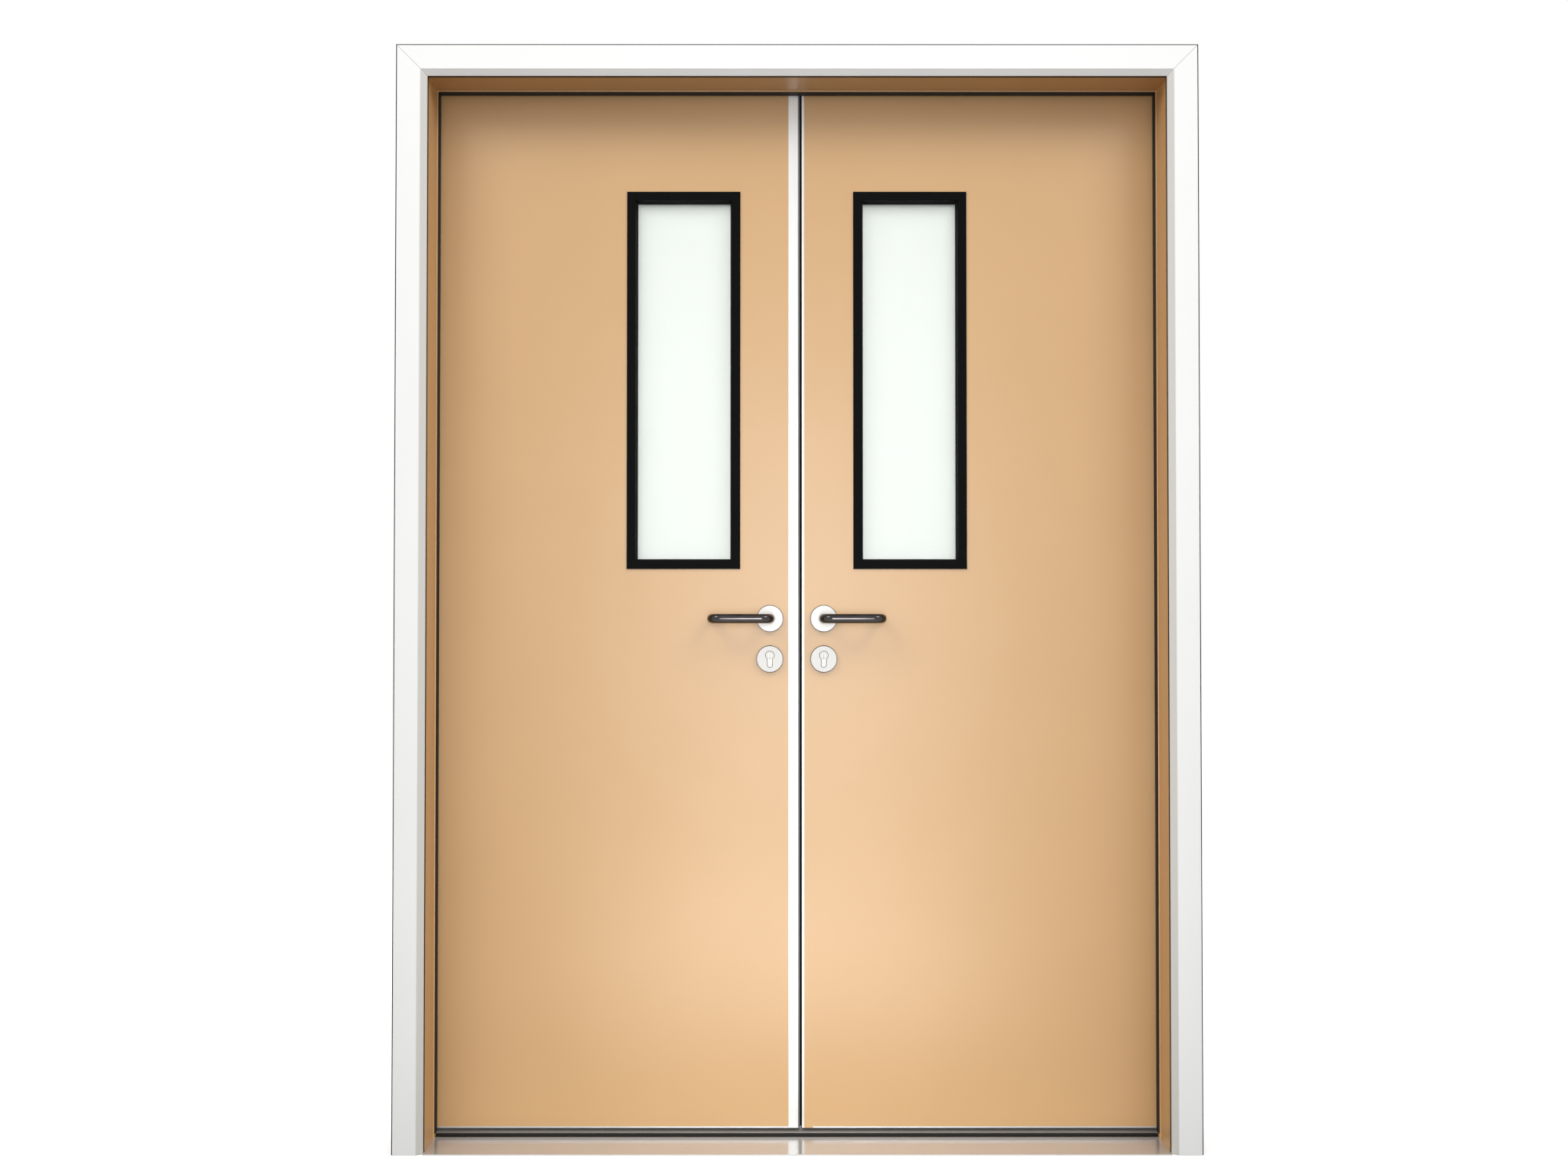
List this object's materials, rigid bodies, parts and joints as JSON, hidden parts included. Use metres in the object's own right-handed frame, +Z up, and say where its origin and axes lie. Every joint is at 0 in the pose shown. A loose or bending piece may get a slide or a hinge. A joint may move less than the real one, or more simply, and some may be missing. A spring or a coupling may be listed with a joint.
{
  "type": "double leaf fire rated steel door",
  "caption": "Double leaf steel fire door in a deep lined frame, with narrow vision panels, return levers on roses, round lock escutcheons and a metal threshold.",
  "frame": {"origin": "underside of the threshold plate, in the middle of the doorway and of the frame's depth", "axes": "+Z up, +X to the right seen from the casing side, +Y through the wall, the way the leaves swing"},
  "size_m": [1.6, 0.2345, 2.202],
  "materials": {
    "white_enamel": "satin",
    "tan_enamel": "satin",
    "black_enamel": "satin",
    "black_rubber": "matt",
    "satin_aluminium": "satin",
    "satin_steel": "brushed",
    "polished_steel": "polished",
    "zinc_steel": "galvanised",
    "dark_chrome": "polished",
    "frosted_glass": "etched"
  },
  "bodies": {
    "frame": {"front_casing_left": "white_enamel", "front_casing_right": "white_enamel", "front_casing_head": "white_enamel", "reveal_lining_left": "tan_enamel", "reveal_lining_right": "tan_enamel", "reveal_lining_head": "tan_enamel", "door_frame_left": "tan_enamel", "door_frame_right": "tan_enamel", "door_frame_head": "tan_enamel", "rear_casing_left": "white_enamel", "rear_casing_right": "white_enamel", "rear_casing_head": "white_enamel", "casing_edge_seal": "black_rubber", "reveal_joint_gasket": "black_rubber", "door_stop_seal": "black_rubber", "threshold_plate": "polished_steel", "threshold_bar": "polished_steel", "threshold_gasket": "black_rubber", "wall_anchors": "zinc_steel", "left_hinge_frame_halves": "satin_steel", "right_hinge_frame_halves": "satin_steel"},
    "left_leaf": {"left_leaf_panel": "tan_enamel", "left_meeting_profile": "satin_aluminium", "left_bottom_channel": "satin_aluminium", "left_vision_bead_front": "black_enamel", "left_vision_bead_rear": "black_enamel", "left_vision_glass": "frosted_glass", "left_lever_roses": "satin_aluminium", "left_lock_escutcheons": "satin_aluminium", "left_lock_cylinder": "satin_aluminium", "left_lock_faceplate": "satin_steel", "left_hinge_leaf_halves": "satin_steel"},
    "left_lever": {"left_lever_front": "dark_chrome", "left_lever_rear": "dark_chrome"},
    "right_leaf": {"right_leaf_panel": "tan_enamel", "right_meeting_profile": "satin_aluminium", "right_bottom_channel": "satin_aluminium", "right_vision_bead_front": "black_enamel", "right_vision_bead_rear": "black_enamel", "right_vision_glass": "frosted_glass", "right_lever_roses": "satin_aluminium", "right_lock_escutcheons": "satin_aluminium", "right_lock_cylinder": "satin_aluminium", "right_lock_faceplate": "satin_steel", "right_hinge_leaf_halves": "satin_steel"},
    "right_lever": {"right_lever_front": "dark_chrome", "right_lever_rear": "dark_chrome"}
  },
  "joints": [
    {"name": "left_leaf_hinge", "type": "hinge", "parent": "frame", "child": "left_leaf", "pos_m": [-0.7492, 0.093, 1.07], "axis": [0, 0, 1], "range_deg": [0, 110]},
    {"name": "left_lever_turn", "type": "hinge", "parent": "left_leaf", "child": "left_lever", "pos_m": [-0.0553, 0.035, 1.0564], "axis": [0, -1, 0], "range_deg": [0, 45], "stiffness_Nm_per_rad": 1.5, "springref_deg": -28.65},
    {"name": "right_leaf_hinge", "type": "hinge", "parent": "frame", "child": "right_leaf", "pos_m": [0.7492, 0.093, 1.07], "axis": [0, 0, -1], "range_deg": [0, 110]},
    {"name": "right_lever_turn", "type": "hinge", "parent": "right_leaf", "child": "right_lever", "pos_m": [0.0553, 0.035, 1.0564], "axis": [0, 1, 0], "range_deg": [0, 45], "stiffness_Nm_per_rad": 1.5, "springref_deg": -28.65}
  ]
}
